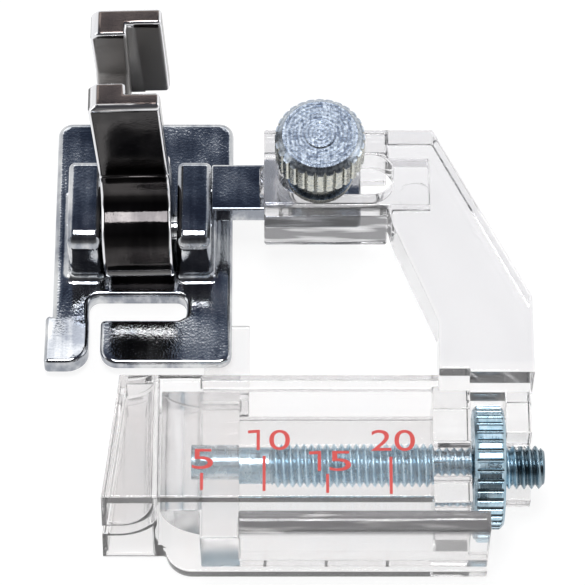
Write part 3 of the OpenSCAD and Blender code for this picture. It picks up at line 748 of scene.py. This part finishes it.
def bend_toes(p):
    """Swings what lies in front of the crease up about it, the right toe less than the left."""
    rise = LEFT_RISE if p.x < TOE_SLIT else RIGHT_RISE
    if abs(p.y - CREASE) < 1e-6:
        return Vector((p.x, CREASE + p.z * math.tan(rise / 2), p.z))
    if p.y > CREASE:
        return p
    y = p.y - CREASE
    return Vector((p.x, CREASE + y * math.cos(rise) + p.z * math.sin(rise),
                   -y * math.sin(rise) + p.z * math.cos(rise)))


def add_ring(work, points, heights):
    return [work.verts.new((x, y, height)) for (x, y), height in zip(points, heights)]


def bridge_rings(work, rings):
    """Skin between each ring of points and the next."""
    for low, high in zip(rings, rings[1:]):
        for k in range(len(low)):
            n = (k + 1) % len(low)
            work.faces.new((low[k], low[n], high[n], high[k]))


def add_plate_rim(work):
    """Rim of the plate from its chamfered bottom to its rounded top; gives those two rings."""
    radii = [TOE_ROUND if y < CREASE else SOLE_ROUND for _, y in SOLE_OUTLINE]
    relief = [TOE_RELIEF if y < CREASE and x > TOE_SLIT else 0.0 for x, y in SOLE_OUTLINE]
    rings = [add_ring(work, inset_outline(SOLE_OUTLINE, [SOLE_CHAMFER] * len(SOLE_OUTLINE)), relief),
             add_ring(work, SOLE_OUTLINE, [z + SOLE_CHAMFER for z in relief])]
    for a in QUARTER:
        rings.append(add_ring(work, inset_outline(SOLE_OUTLINE, [r * (1 - math.cos(a)) for r in radii]),
                              [SOLE_T - r * (1 - math.sin(a)) for r in radii]))
    bridge_rings(work, rings)
    return rings[0], rings[-1]


def add_ear(work, ear):
    """Ear with a filleted base and a rounded top; gives the ring where it meets the plate."""
    rings = []
    for a in QUARTER:
        grow = EAR_FILLET * (1 - math.sin(a))
        ring = ear_ring(ear, grow, EAR_CORNER + grow * CORNER_GROWTH)
        rings.append(add_ring(work, ring, [SOLE_T + EAR_FILLET * (1 - math.cos(a))] * len(ring)))
    ring = ear_ring(ear, 0, EAR_CORNER)
    inner = inset_outline(ring, [1.0] * len(ring))
    for a in QUARTER:
        inwards, down = 1 - math.cos(a), 1 - math.sin(a)
        points, heights = [], []
        for (x, y), (in_x, in_y) in zip(ring, inner):
            front = max(0.0, in_y - y)
            points.append((x + EAR_ROUND * (in_x - x) * inwards,
                           y + (EAR_ROUND * (in_y - y) + EAR_FRONT * front) * inwards))
            heights.append(EAR_TOP - (EAR_ROUND + EAR_FRONT * front * front) * down)
        rings.append(add_ring(work, points, heights))
    bridge_rings(work, rings)
    work.faces.new(rings[-1])
    return rings[0]


def inside(point, loop):
    """Whether a point lies within a closed outline."""
    hit = False
    for k in range(len(loop)):
        a, b = loop[k - 1], loop[k]
        if (a.y > point.y) != (b.y > point.y):
            if point.x < a.x + (point.y - a.y) * (b.x - a.x) / (b.y - a.y):
                hit = not hit
    return hit


def fill_flat(work, outer, holes, flip):
    """Triangles within a flat ring of points and around its holes, with one edge along the crease."""
    verts = [v for loop in [outer] + holes for v in loop]
    index = {v: k for k, v in enumerate(verts)}
    edges = [(index[loop[k - 1]], index[loop[k]])
             for loop in [outer] + holes for k in range(len(loop))]
    on_crease = sorted((v for v in outer if abs(v.co.y - CREASE) < 0.02), key=lambda v: v.co.x)
    edges.append((index[on_crease[0]], index[on_crease[-2]]))
    flat = [v.co.to_2d() for v in verts]
    points, _, triangles, sources, _, _ = delaunay_2d_cdt(flat, edges, [], 0, 1e-7)
    shape = [v.co.to_2d() for v in outer]
    gaps = [[v.co.to_2d() for v in hole] for hole in holes]
    for triangle in triangles:
        middle = sum((points[k] for k in triangle), Vector((0, 0))) / 3
        if not inside(middle, shape) or any(inside(middle, gap) for gap in gaps):
            continue
        corners = [verts[sources[k][0]] for k in triangle]
        work.faces.new(corners[::-1] if flip else corners)


def mark_sharp_edges(work):
    for edge in work.edges:
        bend = edge.calc_face_angle(0.0)
        on_crease = all(abs(v.co.y / MM - CREASE) < CREASE_BAND and v.co.z > CREASE_HEIGHT * MM
                        for v in edge.verts)
        if bend > SHARP_BEND or (on_crease and bend > CREASE_BEND):
            edge.smooth = False


def make_sole():
    work = bmesh.new()
    bottom, top = add_plate_rim(work)
    ear_bases = [add_ear(work, ear) for ear in EARS]
    fill_flat(work, top, ear_bases, False)
    fill_flat(work, bottom, [], True)
    for v in work.verts:
        v.co = bend_toes(v.co) * MM
    bmesh.ops.recalc_face_normals(work, faces=work.faces)
    for face in work.faces:
        face.smooth = True
    mark_sharp_edges(work)
    flat = bpy.data.meshes.new("sole_draft")
    work.to_mesh(flat)
    work.free()
    draft = add_object("sole_draft", flat)
    even_normals(draft)
    mesh = finished_mesh(draft, "sole_plate_rounded")
    bpy.data.meshes.remove(flat)
    link_piece("sole_plate_rounded", mesh, CHROME, "foot", "sole_plate")


# Lead screw: sizes in mm, and how finely its skin is divided along and around
SCREW_SIZES = [("Start", 4.8), ("Thread Start", 11.1), ("End", 33.15), ("Pitch", 0.6),
               ("Crest Radius", 1.75), ("Root Radius", 1.41), ("Shank Radius", 1.475),
               ("Axis Y", SCREW_AXIS[0]), ("Axis Z", SCREW_AXIS[1]), ("End Bevel", 0.1)]
SCREW_COUNTS = [("Rows", 680), ("Sides", 48)]
# Profile of a thread: steepness and shift of its flanks, and its rise where it starts
FLANK_SLOPE = 1.3
FLANK_SHIFT = -0.12
START_SLOPE = 0.8


def thread_tree():
    """Rod along X with a plain shank and a helical thread."""
    tree = bpy.data.node_groups.new("threaded_rod", "GeometryNodeTree")
    tree.interface.new_socket("Geometry", in_out="OUTPUT", socket_type="NodeSocketGeometry")
    for label, value in SCREW_SIZES:
        socket = tree.interface.new_socket(label, in_out="INPUT", socket_type="NodeSocketFloat")
        socket.default_value = value * MM
    for label, value in SCREW_COUNTS:
        socket = tree.interface.new_socket(label, in_out="INPUT", socket_type="NodeSocketInt")
        socket.default_value = value
    tree.interface.new_socket("Material", in_out="INPUT", socket_type="NodeSocketMaterial")
    start = add_node(tree, "NodeGroupInput", (-1600, 0))
    end = add_node(tree, "NodeGroupOutput", (1600, 0))

    def math_node(operation, a, b=None, c=None, clamp=False):
        node = add_node(tree, "ShaderNodeMath", (0, 0), operation=operation, use_clamp=clamp)
        for slot, value in enumerate((a, b, c)):
            if value is None:
                continue
            if isinstance(value, (int, float)):
                node.inputs[slot].default_value = value
            else:
                tree.links.new(value, node.inputs[slot])
        return node.outputs[0]

    size = {label: start.outputs[label] for label, _ in SCREW_SIZES}
    length = math_node("SUBTRACT", size["End"], size["Start"])
    grid = add_node(tree, "GeometryNodeMeshGrid", (-900, 0))
    grid.inputs["Size Y"].default_value = 2 * math.pi
    tree.links.new(length, grid.inputs["Size X"])
    tree.links.new(start.outputs["Rows"], grid.inputs["Vertices X"])
    tree.links.new(start.outputs["Sides"], grid.inputs["Vertices Y"])
    where = add_node(tree, "GeometryNodeInputPosition", (-900, -300))
    split = add_node(tree, "ShaderNodeSeparateXYZ", (-700, -300))
    wire(tree, where, "Position", split, 0)
    along = math_node("ADD", split.outputs["X"], math_node("MULTIPLY", length, 0.5))
    x = math_node("ADD", along, size["Start"])
    turn = split.outputs["Y"]
    phase = math_node("FRACT", math_node("SUBTRACT", math_node("DIVIDE", x, size["Pitch"]),
                                         math_node("DIVIDE", turn, 2 * math.pi)))
    slope = math_node("ABSOLUTE", math_node("MULTIPLY_ADD", phase, 2.0, -1.0))
    tooth = math_node("MULTIPLY_ADD", slope, FLANK_SLOPE, FLANK_SHIFT, clamp=True)
    depth = math_node("SUBTRACT", size["Crest Radius"], size["Root Radius"])
    thread = math_node("MULTIPLY_ADD", tooth, depth, size["Root Radius"])
    run_in = math_node("SUBTRACT", x, size["Thread Start"])
    on_thread = math_node("GREATER_THAN", run_in, 0.0)
    from_end = math_node("SUBTRACT", size["End"], x)
    cap_radius = math_node("SUBTRACT", size["Root Radius"], size["End Bevel"])
    end_limit = math_node("ADD", cap_radius, from_end)
    start_limit = math_node("MULTIPLY_ADD", run_in, START_SLOPE, size["Root Radius"])
    thread = math_node("MINIMUM", math_node("MINIMUM", thread, end_limit), start_limit)
    difference = math_node("SUBTRACT", thread, size["Shank Radius"])
    radius = math_node("MULTIPLY_ADD", difference, on_thread, size["Shank Radius"])
    y = math_node("MULTIPLY_ADD", math_node("COSINE", turn), radius, size["Axis Y"])
    z = math_node("MULTIPLY_ADD", math_node("SINE", turn), radius, size["Axis Z"])
    joined = add_node(tree, "ShaderNodeCombineXYZ", (300, -300))
    for slot, value in enumerate((x, y, z)):
        tree.links.new(value, joined.inputs[slot])
    move = add_node(tree, "GeometryNodeSetPosition", (500, 0))
    wire(tree, grid, "Mesh", move, "Geometry")
    wire(tree, joined, "Vector", move, "Position")
    weld = add_node(tree, "GeometryNodeMergeByDistance", (700, 0))
    weld.inputs["Distance"].default_value = TOUCHING * MM
    wire(tree, move, "Geometry", weld, "Geometry")
    smooth = add_node(tree, "GeometryNodeSetShadeSmooth", (900, 0))
    wire(tree, weld, "Geometry", smooth, "Geometry")
    real = add_node(tree, "GeometryNodeRealizeInstances", (1100, 0))
    wire(tree, smooth, "Geometry", real, "Geometry")
    paint = add_node(tree, "GeometryNodeSetMaterial", (1300, 0))
    wire(tree, real, "Geometry", paint, "Geometry")
    wire(tree, start, "Material", paint, "Material")
    wire(tree, paint, "Geometry", end, "Geometry")
    return tree


def close_ends(mesh):
    """Fills the open ends of a tube and turns all faces outwards."""
    work = bmesh.new()
    work.from_mesh(mesh)
    rims = [e for e in work.edges if e.is_boundary]
    bmesh.ops.holes_fill(work, edges=rims, sides=0)
    bmesh.ops.recalc_face_normals(work, faces=work.faces)
    work.to_mesh(mesh)
    work.free()


def make_lead_screw():
    tree = thread_tree()
    empty = bpy.data.meshes.new("lead_screw_draft")
    draft = add_object("lead_screw_draft", empty)
    rod = draft.modifiers.new("threaded_rod", "NODES")
    rod.node_group = tree
    for item in tree.interface.items_tree:
        if item.in_out == "INPUT" and item.name == "Material":
            rod[item.identifier] = ZINC_SCREW
    mesh = finished_mesh(draft, "lead_screw_thread")
    bpy.data.meshes.remove(empty)
    close_ends(mesh)
    link_piece("lead_screw_thread", mesh, ZINC_SCREW, "width_slider", "lead_screw")


# Printed scale on the top plate: text, left, right, front and rear edge
NUMBERS = [("5", 4.90, 6.58, -18.10, -16.34), ("0", 11.05, 12.71, -16.43, -14.65),
           ("5", 15.85, 17.58, -18.28, -16.52), ("20", 19.19, 22.70, -16.52, -14.65)]
# Figure one: right, front and rear edge, with a stem and a flag to the left
ONES = [(10.30, -16.43, -14.65), (15.18, -18.28, -16.52)]
STROKE = 0.26
FLAG_REACH = 0.95
FLAG_DROP = 0.05
# Tick lines: middle, front and rear end
TICKS = [(5.68, -19.94, -18.45), (10.65, -20.03, -16.96),
         (15.70, -20.20, -18.54), (20.75, -20.29, -17.04)]
TICK_WIDTH = 0.24
INK_HEIGHT = 0.012


def number_mesh(text, left, right, front, back):
    """Figures stretched to their place on the top plate, as thick as the ink."""
    font = bpy.data.curves.new("number_" + text, "FONT")
    font.body = text
    font.extrude = 0.5
    font.resolution_u = 6
    mesh = finished_mesh(add_object("number_draft", font), "number_" + text)
    bpy.data.curves.remove(font)
    low = Vector([min(v.co[k] for v in mesh.vertices) for k in range(3)])
    high = Vector([max(v.co[k] for v in mesh.vertices) for k in range(3)])
    for v in mesh.vertices:
        u = [(v.co[k] - low[k]) / (high[k] - low[k]) for k in range(3)]
        v.co = ((left + u[0] * (right - left)) * MM, (front + u[1] * (back - front)) * MM,
                (GUIDE_TOP + u[2] * INK_HEIGHT) * MM)
    return mesh


def ink_stroke(work, start, end, width):
    """Flat bar of ink between two points of the top plate."""
    a, b = Vector(start), Vector(end)
    side = (b - a).normalized()
    side = Vector((-side.y, side.x)) * width / 2
    corners = (a - side, b - side, b + side, a + side)
    low = [work.verts.new((p.x * MM, p.y * MM, GUIDE_TOP * MM)) for p in corners]
    high = [work.verts.new(v.co + Vector((0, 0, INK_HEIGHT * MM))) for v in low]
    work.faces.new(high)
    work.faces.new(low[::-1])
    for k in range(4):
        n = (k + 1) % 4
        work.faces.new((low[k], low[n], high[n], high[k]))


def make_scale():
    work = bmesh.new()
    for number in NUMBERS:
        figures = number_mesh(*number)
        work.from_mesh(figures)
        bpy.data.meshes.remove(figures)
    for right, front, back in ONES:
        stem = right - STROKE / 2
        ink_stroke(work, (stem, front), (stem, back), STROKE)
        top = back - STROKE / 2
        ink_stroke(work, (right - STROKE, top), (right - FLAG_REACH, top - FLAG_DROP), STROKE)
    for middle, front, back in TICKS:
        ink_stroke(work, (middle, front), (middle, back), TICK_WIDTH)
    bmesh.ops.recalc_face_normals(work, faces=work.faces)
    mesh = bpy.data.meshes.new("printed_scale")
    work.to_mesh(mesh)
    work.free()
    link_piece("printed_scale", mesh, INK, "binder")


# Of the guide frame, only the clamp head's top under the washer lies above this height in mm
HEAD_TOP = 9.59

eased_node("ankle", "ankle", ANKLE_CHROME_PAINTED_DARK, same_edges(ANKLE_EDGE))
make_sole()
eased_node("carrier_bar", "foot", CHROME, same_edges(BAR_EDGE))
eased_node("guide_frame", "binder", CLEAR_FRAME, frame_edges, sunk=HEAD_TOP)
eased_node("slider", "width_slider", CLEAR_SLIDER, same_edges(SLIDER_EDGE))
make_lead_screw()
make_scale()

# CAD nodes that are shown as they are
PLAIN_NODES = [("hinge_pin", CHROME), ("adjusting_wheel", ZINC_WHEEL), ("clamp_knob", ZINC_KNOB),
               ("clamp_stud", ZINC_KNOB), ("clamp_washer", ZINC_KNOB)]
for plain_node, finish in PLAIN_NODES:
    coat(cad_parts[plain_node].data, finish)


# Floor, light and camera

# The floor lies this far below the part, in mm
FLOOR_GAP = 0.05
# Strength of the floor's glow, and its share of what the camera sees; the rest keeps the shadow
GLOW = 1.08
GLOW_SHARE = 0.8


def make_floor():
    """Floor that keeps the shadow and glows white to the camera, the metal and the plastic."""
    bpy.ops.mesh.primitive_plane_add(size=3.0, location=(0, 0, -FLOOR_GAP * MM))
    floor = bpy.context.object
    floor.name = "floor"
    material, tree, shader, _ = start_material("white_floor")
    set_inputs(shader, Base_Color=(0.9, 0.9, 0.9, 1), Roughness=0.9)
    glow = add_node(tree, "ShaderNodeEmission", (0, -200))
    set_inputs(glow, Color=(1, 1, 1, 1), Strength=GLOW)
    path = add_node(tree, "ShaderNodeLightPath", (-600, 300))
    seen = add_node(tree, "ShaderNodeMath", (-400, 300), operation="MAXIMUM")
    seen_all = add_node(tree, "ShaderNodeMath", (-200, 300), operation="MAXIMUM")
    share = add_node(tree, "ShaderNodeMath", (0, 300), operation="MULTIPLY")
    share.inputs[1].default_value = GLOW_SHARE
    mix = add_node(tree, "ShaderNodeMixShader", (300, 0))
    wire(tree, path, "Is Camera Ray", seen, 0)
    wire(tree, path, "Is Glossy Ray", seen, 1)
    wire(tree, seen, 0, seen_all, 0)
    wire(tree, path, "Is Transmission Ray", seen_all, 1)
    wire(tree, seen_all, 0, share, 0)
    wire(tree, share, 0, mix, 0)
    wire(tree, shader, 0, mix, 1)
    wire(tree, glow, 0, mix, 2)
    wire(tree, mix, 0, tree.nodes["Material Output"], 0)
    floor.data.materials.append(material)


def colour_ramp(tree, place, stops):
    ramp = add_node(tree, "ShaderNodeValToRGB", place)
    marks = ramp.color_ramp.elements
    while len(marks) < len(stops):
        marks.new(0.5)
    for mark, (position, colour) in zip(marks, stops):
        mark.position = position
        mark.color = (*colour, 1)
    return ramp


# Colours of the room by height, from the horizon up
REAR_ROOM = [(0.0, (1.0, 1.0, 1.0)), (0.45, (1.0, 1.0, 1.0)), (0.72, (1.0, 1.0, 1.0)),
             (0.785, (0.42, 0.44, 0.48)), (0.838, (0.13, 0.16, 0.225)), (0.88, (0.045, 0.058, 0.092)),
             (0.93, (0.05, 0.055, 0.09)), (1.0, (0.12, 0.12, 0.14))]
FRONT_ROOM = [(0.0, (1.0, 1.0, 1.0)), (0.14, (0.8, 0.8, 0.8)), (0.32, (0.2, 0.2, 0.2)),
              (0.7, (0.05, 0.05, 0.055)), (1.0, (0.08, 0.08, 0.09))]
# Colour sockets of a Mix node: first, second and result
MIX_FIRST, MIX_SECOND, MIX_RESULT = 6, 7, 2


def make_studio():
    """Room that polished metal shows dark behind the camera and overhead, and bright elsewhere.

    The camera and the clear plastic see it white.
    """
    world = bpy.data.worlds.new("studio")
    scene.world = world
    world.use_nodes = True
    tree = world.node_tree
    back = tree.nodes["Background"]
    coords = add_node(tree, "ShaderNodeTexCoord", (-1200, 0))
    split = add_node(tree, "ShaderNodeSeparateXYZ", (-1000, 0))
    wire(tree, coords, "Generated", split, 0)
    rear = colour_ramp(tree, (-700, 200), REAR_ROOM)
    front = colour_ramp(tree, (-700, -200), FRONT_ROOM)
    side = add_node(tree, "ShaderNodeMapRange", (-700, 0), interpolation_type="SMOOTHSTEP")
    set_inputs(side, From_Min=-0.25, From_Max=0.15)
    room = add_node(tree, "ShaderNodeMix", (-400, 0), data_type="RGBA")
    path = add_node(tree, "ShaderNodeLightPath", (-700, 500))
    seen = add_node(tree, "ShaderNodeMix", (-200, 0), data_type="RGBA")
    wire(tree, split, "Z", rear, 0)
    wire(tree, split, "Z", front, 0)
    wire(tree, split, "Y", side, "Value")
    wire(tree, side, "Result", room, 0)
    wire(tree, front, "Color", room, MIX_FIRST)
    wire(tree, rear, "Color", room, MIX_SECOND)
    through = add_node(tree, "ShaderNodeMath", (-400, 500), operation="MAXIMUM")
    wire(tree, path, "Is Camera Ray", through, 0)
    wire(tree, path, "Is Transmission Ray", through, 1)
    wire(tree, through, 0, seen, 0)
    wire(tree, room, MIX_RESULT, seen, MIX_FIRST)
    seen.inputs[MIX_SECOND].default_value = (1, 1, 1, 1)
    wire(tree, seen, MIX_RESULT, back, "Color")


def add_softbox(name, place, aim, width, depth, brightness):
    """Area lamp of an even brightness, whatever its size."""
    light = bpy.data.lights.new(name, "AREA")
    light.shape = "RECTANGLE"
    light.size = width
    light.size_y = depth
    light.energy = brightness * math.pi * width * depth
    obj = add_object(name, light)
    obj.location = place
    obj.rotation_euler = (Vector(aim) - Vector(place)).to_track_quat("-Z", "Y").to_euler()


# Camera fitted to the photo: its angle above the table, distance and aim in metres
CAMERA_ANGLE = math.radians(62.0)
CAMERA_DISTANCE = 0.3
CAMERA_AIM = Vector((12.91, 0.04, 4.0)) * MM
# Focal length and width of the picture, in pixels
FOCAL_PIXELS = 3615.5
PICTURE_PIXELS = 585


def make_camera():
    towards = Vector((0, -math.cos(CAMERA_ANGLE), math.sin(CAMERA_ANGLE)))
    data = bpy.data.cameras.new("camera")
    data.sensor_width = 36.0
    data.lens = FOCAL_PIXELS / PICTURE_PIXELS * data.sensor_width
    data.clip_start = 0.01
    obj = add_object("camera", data)
    obj.location = CAMERA_AIM + towards * CAMERA_DISTANCE
    obj.rotation_euler = (-towards).to_track_quat("-Z", "Y").to_euler()
    scene.camera = obj


# Middle of the part, at which the lamps around it are aimed, in metres
PART_MIDDLE = (0.01, 0, 0.005)

make_floor()
make_studio()
add_softbox("overhead_softbox", (-0.015, 0.02, 0.55), (-0.015, 0.02, 0.0), 0.16, 0.25, 14.0)
add_softbox("rear_softbox", (0.01, 0.45, 0.50), PART_MIDDLE, 0.60, 0.15, 1.15)
add_softbox("left_softbox", (-0.55, -0.05, 0.28), PART_MIDDLE, 0.25, 0.35, 1.3)
add_softbox("right_softbox", (0.58, 0.0, 0.28), PART_MIDDLE, 0.25, 0.35, 1.2)
make_camera()
scene.view_settings.view_transform = "Standard"
